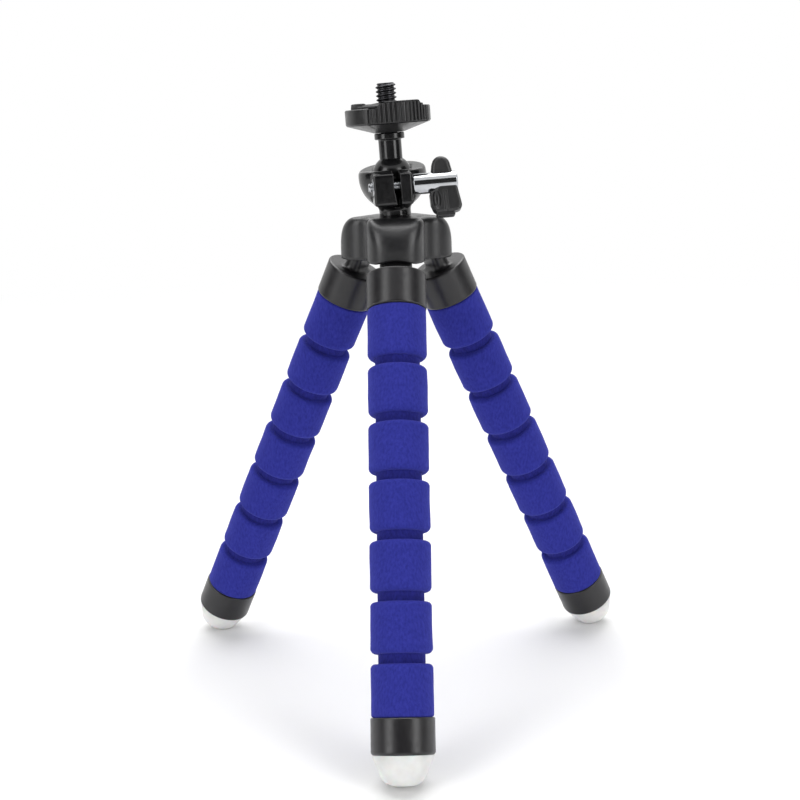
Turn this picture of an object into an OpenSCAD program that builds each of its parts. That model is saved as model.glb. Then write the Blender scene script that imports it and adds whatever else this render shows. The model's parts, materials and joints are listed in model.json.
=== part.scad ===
// Flexible leg tripod: three foam sleeved wire legs hinged under a moulded hub,
// with a clamped ball head, a knurled lock disc and a camera screw on top.
// Millimetres, +Z up, standing on z = 0, with the front leg towards -Y.

/* [Foam sleeves] */
// Outside diameter of a foam sleeve
foam_d = 18; // [16:0.5:18]
// Diameter of the sleeve at the bottom of a groove
waist_d = 13.4; // [11:0.1:14.5]
// Width of a groove at the sleeve's surface
groove_w = 3.8; // [3.4:0.1:5]
// Distance from one groove to the next
groove_pitch = 17.5; // [16:0.5:24]
// Foam from the top cap to the middle of the first groove
first_len = 17; // [12:0.5:24]
// Foam from the middle of the last groove to the foot cap
last_len = 16.2; // [12:0.1:24]
// Rounding of the sleeve's edges at a groove
foam_edge = 1.2; // [0.4:0.1:1.5]
// Gap between two stretches of sleeve inside a groove
waist_gap = 0.3; // [0.2:0.05:0.6]

/* [Leg cores and caps] */
// Diameter of the bendable core wire
wire_d = 4; // [2.5:0.1:5]
// Depth of the wire's seat in each cap
wire_seat = 7; // [4:0.5:8]
// Outside diameter of the leg caps
cap_d = 18.4; // [18.2:0.1:20]
// Height of a top cap
top_cap_h = 11.4; // [9:0.2:14]
// Distance from the hinge line down to a top cap
cap_drop = 10.2; // [9.4:0.2:14]
// Height of a foot cap
foot_cap_h = 10.4; // [9:0.2:14]
// Chamfer on the outer edges of the caps
cap_edge = 0.5; // [0.2:0.1:1]
// Radius of the domed rubber foot
foot_r = 8.9; // [8:0.1:9]
// Diameter of the rubber foot's plug
plug_d = 11; // [8:0.5:13]
// Length of the rubber foot's plug
plug_len = 2.4; // [1.5:0.1:3]
// Depth of the flat that the dome's weight presses on the floor
foot_flat = 0.3; // [0.2:0.1:0.6]

/* [Leg hinges] */
// Spread of each leg from the upright as it stands
spread = 26; // [20:1:28]
// Gap between neighbouring caps when the legs are folded together
fold_gap = 0.48; // [0.3:0.02:1]
// Width of the tongue on a top cap
tongue_w = 10; // [8:0.2:11]
// Thickness of the tongue
tongue_t = 5.4; // [4.6:0.1:5.8]
// Gap between the tongue and each side of its slot
tongue_gap = 0.5; // [0.3:0.05:0.8]
// Gap left between the tongue and the hub's wall at full spread
stop_gap = 0.3; // [0.2:0.05:0.6]
// Diameter of a hinge pin
pin_d = 2.4; // [1.8:0.1:3]
// Depth of a hinge pin's ends below the hub's sides
pin_sink = 0.4; // [0.2:0.1:1]

/* [Hub] */
// Diameter of a lobe's round end
lobe_d = 18; // [17:0.5:20]
// How far a lobe's round end sits inside the hinge line
lobe_set = 0.5; // [0:0.1:1]
// Height of the hub above the hinge line
hub_up = 8.2; // [8:0.2:11]
// Depth of the hub below the hinge line
hub_down = 5.8; // [5:0.2:7]
// Distance from the hub's axis to where a lobe's top begins to fall
crown_at = 10.4; // [8.4:0.1:12]
// Slope of the top where it begins to fall
crown_slope = 12; // [5:1:25]
// Radius of the curve that it falls in
crown_r = 11; // [10:0.1:14]
// Width of the arch under a lobe's outer wall
arch_w = 11; // [8:0.5:13]
// Height of that arch
arch_h = 1.2; // [0.4:0.1:2]
// Diameter of the screw that holds the ball socket down
hub_screw_d = 3; // [2:0.1:3.4]
// Head diameter of that screw
hub_screw_head_d = 5.4; // [4:0.1:5.6]
// Head height of that screw
hub_screw_head_h = 1.8; // [1:0.1:2.4]

/* [Ball head] */
// Lean of the whole head towards -X
head_lean = 3.2; // [0:0.2:6]
// Outside diameter of the ball socket
socket_d = 21.4; // [19:0.2:24]
// Height of the ball's centre above the hub
ball_up = 12.2; // [12:0.1:16]
// Diameter of the ball
ball_d = 12.8; // [11:0.2:14]
// Height of the socket's rim above the ball's centre
rim_up = 2; // [1.6:0.1:3]
// Diameter of the socket's neck
neck_d = 10; // [8:0.2:12]
// Diameter of the neck's spigot in the hub
spigot_d = 6.8; // [6:0.1:7.4]
// Depth of that spigot
spigot_len = 3.4; // [2:0.1:3.6]
// Diameter of the stem on the ball
stem_d = 7.2; // [5:0.1:7.4]
// Height of the stem's collar above the ball's centre
collar_up = 11.3; // [9:0.1:16]
// Diameter of the collar
collar_d = 9.4; // [8:0.1:11]
// Height of the collar
collar_h = 2; // [1:0.1:4]

/* [Camera screw] */
// Outside diameter of the camera screw's thread
screw_d = 6.35; // [6.35, 9.525]
// Pitch of that thread
screw_pitch = 1.27; // [1:0.01:1.6]
// Depth of that thread
thread_depth = 0.6; // [0.3:0.05:0.8]
// Length of thread that stands above the grip pad
screw_up = 5.8; // [4:0.1:7]
// Diameter of the screw's plain neck inside the lock disc
screw_neck_d = 5.2; // [4.6:0.1:6]
// Diameter of the screw's root in the stem
screw_root_d = 4.4; // [3:0.1:5]
// Length of that root
screw_root_len = 5; // [3:0.5:7]
// Diameter of the lock disc
disc_d = 26.6; // [24:0.2:32]
// Height of the lock disc's rim
disc_rim = 4.8; // [3:0.1:7]
// Height of the shallow cone under the lock disc
disc_dish = 2.8; // [1:0.1:4]
// Chamfer on the rim's edges
disc_edge = 0.5; // [0.2:0.1:1]
// Diameter of the grip pad on the lock disc
pad_d = 22.4; // [16:0.2:22.6]
// Height of the grip pad
pad_h = 1.7; // [1:0.1:3]
// Thickness of the web that joins the grip pad's segments
pad_web = 0.7; // [0.4:0.1:0.9]
// Width of the gaps between the grip pad's segments
pad_gap = 3; // [1:0.2:5]
// Number of segments on the grip pad
pad_count = 3; // [2:1:6]

/* [Clamp] */
// Turn of the clamp's ears towards +X
clamp_turn = 6.4; // [0:0.2:20]
// Distance from the socket's outside to the clamp screw's axis
clamp_off = 0; // [0:0.1:2]
// Drop of the clamp screw below the ball's centre
clamp_drop = 2.7; // [0:0.1:4]
// Width of the slit between the ears
slit_w = 2; // [1:0.1:3]
// Width of the ear on the nut's side
nut_ear_w = 6.3; // [4:0.1:7]
// Width of the ear on the barrel's side
barrel_ear_w = 3.8; // [2.5:0.1:6]
// Reach of the ears in front of the clamp screw's axis
ear_front = 3.6; // [3.4:0.1:5]
// Height of the ears above the clamp screw
ear_up = 4; // [2.8:0.1:5]
// Height of the ears below the clamp screw
ear_down = 5.8; // [3:0.1:6]
// Diameter of the clamp screw's shank
shank_d = 3; // [2:0.1:3.4]
// Length of shank that shows past the nut
shank_tip = 1.4; // [0.2:0.1:2]
// Width of the nut across its flats
nut_af = 5.4; // [5:0.1:6]
// Height of the nut
nut_h = 2; // [1.6:0.1:3]
// Depth of the nut's pocket in the ear
nut_sink = 2; // [0.8:0.1:3]
// Diameter of the clamp screw's barrel
barrel_d = 6.4; // [5:0.1:8]
// Gap between the barrel and the hollow that it turns in beside the bowl
barrel_gap = 0.3; // [0.1:0.05:0.6]
// Length of barrel that stands out past the nub
barrel_tail = 1.3; // [0.6:0.1:4]
// Turn of the lever about the barrel
lever_turn = 20; // [0:1:40]
// Thickness of the lever
lever_t = 5.2; // [4.2:0.1:6]
// Thickness of the lever's web through the barrel
web_t = 3; // [2:0.1:3.6]
// Width of that web
web_w = 4.6; // [3:0.1:5]
// Gap that lets the wing swing past the socket
wing_gap = 0.4; // [0.3:0.1:2]
// Distance from the wing's near side to the nub's
nub_set = 0.1; // [0:0.1:2.4]
// Width of the short upper nub
nub_w = 6.2; // [5:0.1:6.4]
// Reach of the nub from the barrel's axis
nub_len = 7.9; // [6:0.1:9]
// Width of the long lower wing
wing_w = 7.9; // [6.4:0.1:10]
// Bulge of the wing's outer side
wing_bulge = 0.9; // [0.4:0.1:2]
// Reach of the wing from the barrel's axis
wing_len = 9.5; // [8:0.1:10]
// Width of the step at the wing's tip
tip_w = 6.3; // [4:0.1:6.4]
// Length of that step
tip_len = 1.5; // [0.6:0.1:1.8]

/* [Fits] */
// Radial play of a part that turns in another
run_fit = 0.05; // [0.02:0.01:0.1]
// Radial play of a part that is pushed into another
push_fit = 0.03; // [0.01:0.01:0.06]
// Gap between faces that slide past each other
face_gap = 0.1; // [0.05:0.05:0.3]

/* [Hidden] */
$fn = 96;
legs = 3;
grooves = 6;
segments = grooves + 1;
front_azimuth = -90;
thread_angle = 60;
over = 1;

// Distances down a leg from its hinge line
foam_top = cap_drop + top_cap_h;
function groove_at(k) = foam_top + first_len + (k - 1) * groove_pitch;
foam_end = groove_at(grooves) + last_len;
foot_at = foam_end + foot_cap_h;

// Places of the hinge lines and of the hub
pivot_r = (cap_d + fold_gap) / (2 * sin(180 / legs));
foot_out = pivot_r + foot_at * sin(spread);
pivot_z = foot_at * cos(spread) + foot_r - foot_flat;
hub_y = foot_out / 4;
hub_top = pivot_z + hub_up;

// The hub's lobes and the slots in them
lobe_at = pivot_r - lobe_set;
lobe_end = lobe_at + lobe_d / 2;
tongue_r = tongue_t / 2;
stop_s = (hub_down + tongue_r * sin(spread)) / cos(spread);
stop_x = tongue_r * cos(spread) + stop_s * sin(spread);
slot_end = pivot_r + stop_x + stop_gap;
slot_r = norm([slot_end - lobe_at, tongue_w / 2 - tongue_r]) + stop_gap;
slot_w = tongue_w + 2 * tongue_gap;
eye_r = tongue_r + tongue_gap;
pin_len = lobe_d - 2 * pin_sink;

// Heights in the head, measured along its leaning axis from the hub's top
rim_at = ball_up + rim_up;
collar_at = ball_up + collar_up;
disc_at = collar_at + collar_h + face_gap;
disc_low = disc_at + disc_dish;
disc_top = disc_low + disc_rim;
pad_top = disc_top + pad_h;
screw_top = pad_top + screw_up;
thread_at = pad_top + face_gap;
disc_bore = screw_neck_d / 2 + run_fit;

// The clamp, along its own axis from the middle of the slit
nut_face = -slit_w / 2 - nut_ear_w;
barrel_face = slit_w / 2 + barrel_ear_w;
barrel_at = barrel_face + face_gap;
nut_at = nut_face + nut_sink - nut_h;
wing_at = socket_d / 2 + wing_gap;
nub_at = wing_at + nub_set;
web_at = nub_at + nub_w / 2;
barrel_len = nub_at + nub_w + barrel_tail - barrel_at;
clamp_at = ball_up - clamp_drop;
clamp_out = socket_d / 2 + clamp_off;

HEAD_NODES = ["hub", "hub_screw", "ball_socket", "clamp_nut", "clamp_screw", "clamp_lever",
    "ball", "ball_stem", "camera_screw", "lock_disc", "grip_pad"];
LEG_NODES = [for (n = [1 : legs]) each concat(
    [str("leg_", n, "_hinge_pin"), str("leg_", n, "_top_cap"), str("leg_", n, "_core_wire")],
    [for (k = [1 : segments]) str("leg_", n, "_foam_", k)],
    [str("leg_", n, "_foot_cap"), str("leg_", n, "_rubber_foot")])];

// Moves a piece drawn about the hub's axis, on the hinge plane, to its place
module in_hub() {
    translate([0, hub_y, pivot_z]) children();
}

// Moves a piece drawn about the head's axis, up from the hub's top, to its place
module in_head() {
    translate([0, hub_y, hub_top]) rotate([0, -head_lean, 0]) children();
}

// Moves a piece drawn along the clamp screw, on the X axis, to its place
module in_clamp() {
    in_head() rotate([0, 0, clamp_turn]) translate([0, -clamp_out, clamp_at]) children();
}

// Turns a piece drawn on the +X side of the hub to leg n's side
module at_lobe(n) {
    rotate([0, 0, front_azimuth + (n - 1) * 360 / legs]) children();
}

// Moves a piece drawn down from a hinge line, along -Z, to leg n's place
module in_leg(n) {
    in_hub() at_lobe(n) translate([pivot_r, 0, 0]) rotate([0, -spread, 0]) children();
}

// A round bar about the X axis
module bar_x(d, x0, x1) {
    translate([x0, 0, 0]) rotate([0, 90, 0]) cylinder(d = d, h = x1 - x0);
}

// A round bar about the Y axis, centred on it
module bar_y(d, length) {
    rotate([90, 0, 0]) cylinder(d = d, h = length, center = true);
}

// A cylinder with chamfered outer edges, from the origin upwards
module chamfered(d, h, edge_low, edge_high) {
    rotate_extrude() polygon([
        [0, 0], [d / 2 - edge_low, 0], [d / 2, edge_low],
        [d / 2, h - edge_high], [d / 2 - edge_high, h], [0, h]
    ]);
}

// Half section of a round bar whose low and high edges are rounded
module round_section(r, h, round_low, round_high) {
    difference() {
        square([r, h]);
        if (round_low > 0) translate([r - round_low, 0]) corner(round_low, -1);
        if (round_high > 0) translate([r - round_high, h]) corner(round_high, 1);
    }
}

// The waste outside a quarter circle, in the corner of a section's right side
module corner(r, side) {
    difference() {
        translate([0, side > 0 ? -r : -over]) square([r + over, r + over]);
        translate([0, -side * r]) circle(r);
    }
}

// Plan of the tongue: a bar with round ends, across the hinge
module tongue_plan() {
    straight = tongue_w - tongue_t;
    square([tongue_t, straight], center = true);
    for (side = [-1, 1]) translate([0, side * straight / 2]) circle(d = tongue_t);
}

// Plan of the hub: three straight arms with round ends
module hub_plan() {
    for (n = [1 : legs]) rotate(front_azimuth + (n - 1) * 360 / legs) {
        translate([lobe_at, 0]) circle(d = lobe_d);
        translate([0, -lobe_d / 2]) square([lobe_at, lobe_d]);
    }
}

// The waste above a lobe's falling top and before its flattened front, on the +X side
module crown_waste() {
    crown_x = crown_at - crown_r * sin(crown_slope);
    crown_z = hub_up - crown_r * cos(crown_slope);
    reach = lobe_end + over - crown_x;
    translate([crown_x, lobe_d, 0]) rotate([90, 0, 0]) linear_extrude(2 * lobe_d) difference() {
        translate([0, -hub_down - over]) square([reach, hub_up + hub_down + 2 * over]);
        translate([0, crown_z]) circle(r = crown_r);
        translate([-over, -hub_down - 2 * over]) square([crown_r + over, crown_z + hub_down + 2 * over]);
    }
}

// The slot for a tongue, the arch in front of it and the bore for its pin
module lobe_cuts() {
    arch_r = (arch_w * arch_w / 4 + arch_h * arch_h) / (2 * arch_h);
    translate([0, 0, -hub_down - over]) linear_extrude(hub_down + over) intersection() {
        translate([lobe_at, 0]) circle(r = slot_r);
        translate([0, -slot_w / 2]) square([lobe_end, slot_w]);
    }
    translate([pivot_r, 0, 0]) bar_y(2 * eye_r, slot_w);
    translate([0, 0, -hub_down + arch_h - arch_r]) bar_x(2 * arch_r, lobe_at, lobe_end + over);
    translate([pivot_r, 0, 0]) bar_y(pin_d + 2 * push_fit, lobe_d + 2 * over);
}

module hub() {
    color("#2b2c2e") difference() {
        in_hub() translate([0, 0, -hub_down]) linear_extrude(hub_up + hub_down) hub_plan();
        in_hub() for (n = [1 : legs]) at_lobe(n) {
            crown_waste();
            lobe_cuts();
        }
        in_head() {
            translate([0, 0, -spigot_len]) cylinder(d = spigot_d + 2 * push_fit, h = spigot_len + over);
            translate([0, 0, -hub_up - hub_down - over])
                cylinder(d = hub_screw_d + 2 * run_fit, h = hub_up + hub_down + over);
            translate([0, 0, -hub_up - hub_down - over])
                cylinder(d = hub_screw_head_d + 2 * run_fit, h = hub_screw_head_h / 2 + over);
        }
    }
}

module hub_screw() {
    seat = -hub_up - hub_down + hub_screw_head_h / 2;
    color("#b9bcc0") in_head() {
        translate([0, 0, seat - hub_screw_head_h]) chamfered(hub_screw_head_d, hub_screw_head_h, cap_edge, 0);
        translate([0, 0, seat]) cylinder(d = hub_screw_d, h = -seat + spigot_len / 2);
    }
}

module ball_socket() {
    color("#141416") difference() {
        union() {
            difference() {
                in_head() translate([0, 0, -over]) cylinder(d = neck_d, h = ball_up + over);
                in_hub() translate([0, 0, -hub_down]) cylinder(d = 2 * neck_d, h = hub_up + hub_down);
            }
            in_head() translate([0, 0, -spigot_len]) cylinder(d = spigot_d, h = spigot_len + over);
            in_head() difference() {
                translate([0, 0, ball_up]) sphere(d = socket_d);
                translate([0, 0, rim_at]) cylinder(d = socket_d + over, h = socket_d);
            }
            in_clamp() ears();
        }
        in_head() translate([0, 0, ball_up]) sphere(d = ball_d + 2 * run_fit);
        in_head() translate([0, 0, -spigot_len - over])
            cylinder(d = hub_screw_d + 2 * push_fit, h = 1.5 * spigot_len + face_gap + over);
        in_clamp() clamp_cuts();
    }
}

// The two clamp ears as one block, before the slit parts them
module ears() {
    back = clamp_out - (socket_d + ball_d) / 4;
    translate([nut_face, -ear_front, -ear_down])
        cube([barrel_face - nut_face, ear_front + back, ear_down + ear_up]);
}

// The slit, the clamp screw's bore, the hollow beside its barrel and the nut's pocket
module clamp_cuts() {
    translate([-slit_w / 2, -ear_front - over, -ear_down - over])
        cube([slit_w, clamp_out + ear_front + over, ear_down + clamp_drop + rim_up + 2 * over]);
    bar_x(shank_d + 2 * run_fit, nut_face - over, barrel_face + over);
    bar_x(barrel_d + 2 * barrel_gap, barrel_face, barrel_face + socket_d);
    hex_x(nut_af + 2 * push_fit, nut_face - over, nut_face + nut_sink);
}

// A hexagonal bar about the X axis
module hex_x(af, x0, x1) {
    translate([x0, 0, 0]) rotate([0, 90, 0]) cylinder(d = af / cos(30), h = x1 - x0, $fn = 6);
}

module clamp_nut() {
    color("#c9ccd0") in_clamp() difference() {
        hex_x(nut_af, nut_at, nut_at + nut_h);
        bar_x(shank_d + 2 * run_fit, nut_at - over, nut_at + nut_h + over);
    }
}

module clamp_screw() {
    color("#d5d8dc") in_clamp() difference() {
        union() {
            bar_x(shank_d, nut_at - shank_tip, barrel_at);
            translate([barrel_at, 0, 0]) rotate([0, 90, 0]) chamfered(barrel_d, barrel_len, cap_edge, cap_edge);
        }
        rotate([-lever_turn, 0, 0]) translate([web_at, 0, 0])
            cube([web_w + 2 * push_fit, web_t + 2 * push_fit, 2 * barrel_d], center = true);
    }
}

// Front view of the lever's nub and wing, with X along the barrel
module lever_outline() {
    nub_r = nub_w / 2;
    root = barrel_d / 2;
    translate([nub_at, 0]) square([nub_w, nub_len - nub_r]);
    translate([web_at, nub_len - nub_r]) circle(nub_r);
    translate([wing_at, -wing_len]) square([wing_w, wing_len]);
    intersection() {
        bulge_r = (wing_len * wing_len / 4 + wing_bulge * wing_bulge) / (2 * wing_bulge);
        translate([wing_at + wing_w + wing_bulge - bulge_r, -wing_len / 2]) circle(bulge_r);
        translate([wing_at, -wing_len]) square([2 * wing_w, wing_len]);
    }
    translate([wing_at + (wing_w - tip_w) / 2, -wing_len - tip_len]) square([tip_w, tip_len + root]);
}

module clamp_lever() {
    color("#1b1b1d") in_clamp() rotate([-lever_turn, 0, 0]) {
        difference() {
            translate([0, lever_t / 2, 0]) rotate([90, 0, 0]) linear_extrude(lever_t) lever_outline();
            bar_x(barrel_d + 2 * push_fit, wing_at - over, wing_at + 2 * wing_w);
        }
        translate([web_at, 0, 0]) cube([web_w, web_t, barrel_d + 2 * face_gap], center = true);
    }
}

module ball() {
    color("#0f0f11") in_head() translate([0, 0, ball_up]) sphere(d = ball_d);
}

module ball_stem() {
    root = screw_root_d + 2 * push_fit;
    color("#111113") in_head() difference() {
        union() {
            translate([0, 0, ball_up]) cylinder(d = stem_d, h = collar_up + over);
            translate([0, 0, collar_at]) chamfered(collar_d, collar_h, disc_edge, disc_edge);
        }
        translate([0, 0, ball_up]) sphere(d = ball_d + 2 * run_fit);
        translate([0, 0, collar_at + collar_h - screw_root_len]) cylinder(d = root, h = screw_root_len + over);
    }
}

module camera_screw() {
    r = screw_d / 2;
    crest = screw_pitch / 8;
    turns = floor((screw_top - thread_at - thread_depth - crest) / screw_pitch);
    root = (screw_pitch - crest) / 2 - thread_depth * tan(thread_angle / 2);
    foot = collar_at + collar_h;
    color("#3a3b3e") in_head() {
        translate([0, 0, foot - screw_root_len]) cylinder(d = screw_root_d, h = screw_root_len + over);
        translate([0, 0, foot]) cylinder(d = screw_neck_d, h = thread_at + over - foot);
        difference() {
            translate([0, 0, thread_at]) chamfered(screw_d, screw_top - thread_at, 0, thread_depth);
            for (i = [1 : turns]) translate([0, 0, screw_top - thread_depth - (i - 0.5) * screw_pitch])
                rotate_extrude() polygon([
                    [r - thread_depth, -root], [r, -(screw_pitch - crest) / 2], [r + over, -(screw_pitch - crest) / 2],
                    [r + over, (screw_pitch - crest) / 2], [r, (screw_pitch - crest) / 2], [r - thread_depth, root]
                ]);
        }
    }
}

module lock_disc() {
    r = disc_d / 2;
    color("#1e1e20") in_head() translate([0, 0, disc_at]) rotate_extrude() polygon([
        [disc_bore, 0], [collar_d / 2, 0], [r - disc_edge, disc_dish - disc_edge / 2], [r, disc_dish + disc_edge],
        [r, disc_dish + disc_rim - disc_edge], [r - disc_edge, disc_dish + disc_rim], [disc_bore, disc_dish + disc_rim]
    ]);
}

module grip_pad() {
    bore = screw_neck_d + 2 * face_gap;
    color("#242426") in_head() difference() {
        translate([0, 0, disc_top]) chamfered(pad_d, pad_h, 0, disc_edge);
        translate([0, 0, disc_top - over]) cylinder(d = bore, h = pad_h + 2 * over);
        for (i = [1 : pad_count]) rotate([0, 0, front_azimuth + (i - 0.75) * 360 / pad_count])
            translate([0, -pad_gap / 2, disc_top + pad_web]) cube([pad_d, pad_gap, pad_h]);
    }
}

module hinge_pin(n) {
    color("#3a3b3e") in_hub() at_lobe(n) translate([pivot_r, 0, 0]) bar_y(pin_d, pin_len);
}

module top_cap(n) {
    color("#2a2b2d") in_leg(n) difference() {
        union() {
            translate([0, 0, -foam_top]) chamfered(cap_d, top_cap_h, cap_edge, cap_edge);
            intersection() {
                translate([0, 0, -cap_drop - over]) linear_extrude(cap_drop + tongue_r + over) tongue_plan();
                union() {
                    bar_y(tongue_t, tongue_w + over);
                    translate([-tongue_t, -tongue_w, -cap_drop - over])
                        cube([2 * tongue_t, 2 * tongue_w, cap_drop + over]);
                }
            }
        }
        bar_y(pin_d + 2 * run_fit, tongue_w + 2 * over);
        translate([0, 0, -foam_top - over]) cylinder(d = wire_d + 2 * push_fit, h = wire_seat + over);
    }
}

module core_wire(n) {
    color("#8d9094") in_leg(n) translate([0, 0, -foam_end - wire_seat + face_gap])
        cylinder(d = wire_d, h = foam_end - foam_top + 2 * wire_seat - 2 * face_gap);
}

// One stretch of sleeve: grooves end it in a ball shaped waist below and a hollow above
module foam(n, k) {
    first = k == 1;
    last = k == segments;
    high = first ? foam_top : groove_at(k - 1) + groove_w / 2;
    low = last ? foam_end : groove_at(k) - groove_w / 2;
    color("#3a3aa6") in_leg(n) difference() {
        union() {
            translate([0, 0, -low]) rotate_extrude()
                round_section(foam_d / 2, low - high, last ? 0 : foam_edge, first ? 0 : foam_edge);
            if (!last) translate([0, 0, -groove_at(k)]) sphere(d = waist_d);
        }
        if (!first) translate([0, 0, -groove_at(k - 1)]) sphere(d = waist_d + 2 * waist_gap);
        translate([0, 0, -foam_end - over]) cylinder(d = wire_d + 2 * waist_gap, h = foam_end - foam_top + 2 * over);
    }
}

module foot_cap(n) {
    color("#2a2b2d") in_leg(n) difference() {
        translate([0, 0, -foot_at]) chamfered(cap_d, foot_cap_h, cap_edge, cap_edge);
        translate([0, 0, -foam_end - wire_seat]) cylinder(d = wire_d + 2 * push_fit, h = wire_seat + over);
        translate([0, 0, -foot_at - over]) cylinder(d = plug_d + 2 * push_fit, h = plug_len + face_gap + over);
    }
}

module rubber_foot(n) {
    floor_w = 4 * foot_out;
    color("#eeeeec") difference() {
        in_leg(n) {
            translate([0, 0, -foot_at - over]) cylinder(d = plug_d, h = plug_len + over);
            difference() {
                translate([0, 0, -foot_at]) sphere(r = foot_r);
                translate([-foot_r, -foot_r, -foot_at]) cube(2 * foot_r);
            }
        }
        translate([-floor_w / 2, -floor_w / 2, -foot_r]) cube([floor_w, floor_w, foot_r]);
    }
}

hub();
hub_screw();
ball_socket();
clamp_nut();
clamp_screw();
clamp_lever();
ball();
ball_stem();
camera_screw();
lock_disc();
grip_pad();
for (n = [1 : legs]) {
    hinge_pin(n);
    top_cap(n);
    core_wire(n);
    for (k = [1 : segments]) foam(n, k);
    foot_cap(n);
    rubber_foot(n);
}
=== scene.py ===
import json
import math

import bpy
import numpy as np
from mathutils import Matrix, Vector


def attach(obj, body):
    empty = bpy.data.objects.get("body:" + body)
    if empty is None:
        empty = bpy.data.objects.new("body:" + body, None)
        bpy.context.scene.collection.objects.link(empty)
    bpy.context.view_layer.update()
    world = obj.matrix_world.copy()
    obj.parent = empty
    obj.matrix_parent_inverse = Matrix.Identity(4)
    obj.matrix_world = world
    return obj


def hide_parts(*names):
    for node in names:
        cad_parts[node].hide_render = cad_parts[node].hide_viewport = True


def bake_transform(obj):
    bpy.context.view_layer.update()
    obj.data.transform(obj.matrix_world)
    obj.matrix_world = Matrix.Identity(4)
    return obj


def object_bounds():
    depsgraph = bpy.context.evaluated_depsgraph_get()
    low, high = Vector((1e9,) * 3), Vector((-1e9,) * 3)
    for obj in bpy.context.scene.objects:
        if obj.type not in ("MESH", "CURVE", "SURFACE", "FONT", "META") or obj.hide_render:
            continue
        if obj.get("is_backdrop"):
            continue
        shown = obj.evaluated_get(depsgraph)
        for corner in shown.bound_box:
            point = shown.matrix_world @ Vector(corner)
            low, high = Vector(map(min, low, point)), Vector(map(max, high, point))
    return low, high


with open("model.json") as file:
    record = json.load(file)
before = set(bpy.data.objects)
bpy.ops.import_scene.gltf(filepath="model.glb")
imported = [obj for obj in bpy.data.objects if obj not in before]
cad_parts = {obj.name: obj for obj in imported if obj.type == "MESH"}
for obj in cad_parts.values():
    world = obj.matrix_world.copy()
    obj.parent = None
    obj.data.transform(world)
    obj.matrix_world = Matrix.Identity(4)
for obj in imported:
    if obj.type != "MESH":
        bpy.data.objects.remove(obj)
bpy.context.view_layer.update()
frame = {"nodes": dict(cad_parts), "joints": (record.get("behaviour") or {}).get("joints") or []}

import openvdb
from mathutils import Matrix, Vector, noise


# Hub: one satin black moulding with three lobes, slotted from below for the hinge tongues of
# the legs. The top of each lobe falls away to its front in one smooth curve, so that two soft
# creases run down the round end. The ball socket is screwed down on its middle.
MM = 0.001
LEGS = (1, 2, 3)
joints = {joint["name"]: joint for joint in frame["joints"]}
hinges = {n: Vector(joints[f"leg_{n}_hinge"]["pos_m"]) for n in LEGS}
hub_centre = sum(hinges.values(), Vector()) / len(LEGS)
hinge_r = (hinges[1] - hub_centre).length / MM
lobe_r = 9.0
lobe_at = hinge_r - 0.5
hub_up = 8.2
hub_down = 5.8
crown_r = 11.0
crown_out = 8.1
crown_low = -2.56
crown_crease = 2.6
hub_core_r = 8.8
hub_valley = 2.6
hub_edge = 0.9
slot_r = 7.3
slot_w = 11.0
eye_r = 3.2
arch_r = 13.2
arch_h = 1.2
screw_well_r = 2.75
screw_well_h = 0.9
NOISE_LOW = 0.3
NOISE_HIGH = 0.7
plastic_cloud = 6.0
plastic_patch = 1.7
plastic_grain = 0.35
gloss_spread = 0.05


def setting(origin, x_axis, z_axis):
    """Takes millimetres about a piece's own axes to metres in the frame."""
    up = Vector(z_axis).normalized()
    side = Vector(x_axis)
    side = (side - side.dot(up) * up).normalized()
    turn = Matrix((side, up.cross(side), up)).transposed().to_4x4()
    return Matrix.Translation(origin) @ turn @ Matrix.Scale(MM, 4)


def carve(a, b, soft):
    """What two distance fields have in common, with the edge between them rounded."""
    near = np.maximum(soft - np.abs(a - b), 0) / soft
    return np.maximum(a, b) + near * near * soft / 4


def merge(a, b, soft):
    """Two distance fields together, with a fillet between them."""
    return -carve(-a, -b, soft)


def outward(mesh):
    """Turns a closed mesh's faces outwards."""
    corners = np.empty(len(mesh.vertices) * 3)
    mesh.vertices.foreach_get("co", corners)
    corners = corners.reshape(-1, 3)
    mesh.calc_loop_triangles()
    order = np.empty(len(mesh.loop_triangles) * 3, int)
    mesh.loop_triangles.foreach_get("vertices", order)
    a, b, c = (corners[order.reshape(-1, 3)[:, i]] for i in range(3))
    if np.einsum("ij,ij->i", a, np.cross(b, c)).sum() < 0:
        mesh.flip_normals()
    return mesh


def moulded(shape, low, high, cell, place):
    """Closed mesh of the surface on which a distance field, in millimetres, is zero."""
    low = np.array(low, float)
    counts = np.ceil((np.array(high) - low) / cell).astype(int) + 1
    steps = [low[i] + cell * np.arange(counts[i]) for i in range(3)]
    field = shape(*np.meshgrid(*steps, indexing="ij"))
    grid = openvdb.FloatGrid(float(field.max()))
    grid.copyFromArray(field.astype(np.float32))
    points, quads = grid.convertToQuads(isovalue=0.0)
    points = low + cell * points.astype(float)
    reach = 0.25 * cell
    least_slope = 0.05
    for _ in range(3):
        distance = shape(*points.T)
        slope = np.stack([(shape(*(points + reach * axis).T) - shape(*(points - reach * axis).T))
                          / (2 * reach) for axis in np.eye(3)], axis=1)
        step = distance / np.maximum((slope ** 2).sum(1), least_slope)
        points -= np.clip(step, -reach, reach)[:, None] * slope
    mesh = bpy.data.meshes.new("moulding")
    mesh.from_pydata(points.tolist(), [], quads.tolist())
    mesh.transform(place)
    mesh.shade_smooth()
    return outward(mesh)


def add_piece(name, mesh, material, slot, body, *nodes):
    """Makes a mesh a piece of the object, which may ride a body and take the place of nodes."""
    mesh.name = name
    mesh.materials.clear()
    mesh.materials.append(material)
    piece = bpy.data.objects.new(name, mesh)
    bpy.context.scene.collection.objects.link(piece)
    if body:
        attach(piece, body)
    if nodes:
        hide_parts(*nodes)
    return piece


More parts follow.
